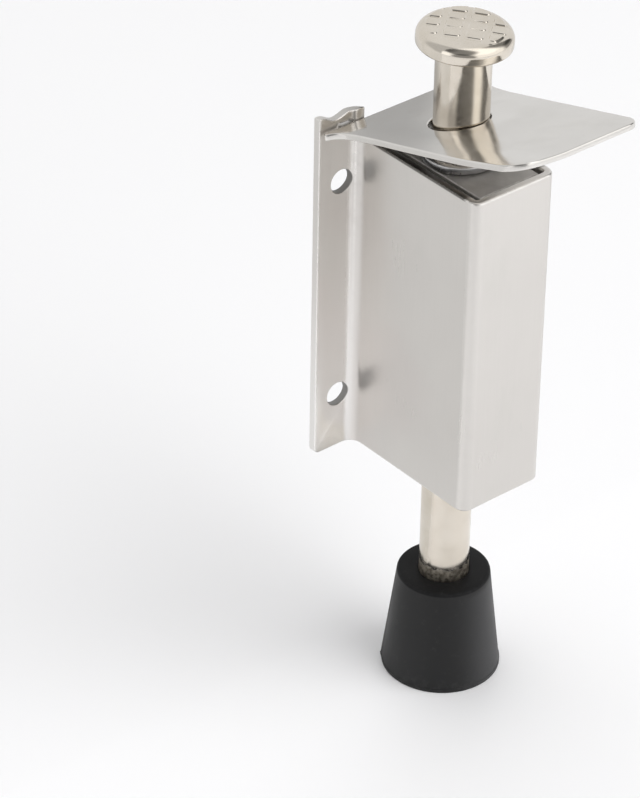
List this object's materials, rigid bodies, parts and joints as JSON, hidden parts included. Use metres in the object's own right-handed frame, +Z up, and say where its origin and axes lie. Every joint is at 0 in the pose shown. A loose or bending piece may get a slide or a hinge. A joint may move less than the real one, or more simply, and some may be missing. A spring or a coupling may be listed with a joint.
{
  "type": "floor door holder",
  "caption": "Door-mounted floor holder: a foot-pressed plunger with a rubber foot, gripped by a tilting pedal plate and lifted by a return spring.",
  "frame": {"origin": "centre of the rubber foot's sole, on the plunger's axis, with the plunger down on the floor", "axes": "+Z up along the plunger, +Y towards the door the holder is screwed to, +X along the door's width"},
  "size_m": [0.047, 0.0616, 0.1749],
  "materials": {
    "brushed_stainless": "satin brushed stainless sheet",
    "polished_stainless": "polished stainless sheet",
    "nickel_plate": "bright warm nickel plate",
    "spring_steel": "oiled spring steel",
    "white_nylon": "natural nylon",
    "black_rubber": "moulded black rubber"
  },
  "bodies": {
    "housing": {"body_channel": "brushed_stainless", "upper_guide_plate": "brushed_stainless", "lower_guide_plate": "brushed_stainless", "upper_guide_bush": "spring_steel", "lower_guide_bush": "white_nylon", "return_spring": "spring_steel", "pedal_spring": "spring_steel"},
    "plunger": {"plunger_rod": "nickel_plate", "push_knob": "nickel_plate", "spring_pin": "spring_steel", "spring_seat_washer": "spring_steel", "rubber_foot": "black_rubber", "foot_washer": "spring_steel"},
    "pedal": {"pedal_plate": "polished_stainless"}
  },
  "joints": [
    {"name": "plunger_slide", "type": "slide", "parent": "housing", "child": "plunger", "axis": [0, 0, 1], "range_m": [-0.015, 0.031], "deforming": ["return_spring"]},
    {"name": "pedal_tilt", "type": "hinge", "parent": "housing", "child": "pedal", "pos_m": [0, 0.022, 0.14515], "axis": [1, 0, 0], "range_deg": [0, 11], "deforming": ["pedal_spring"]}
  ]
}
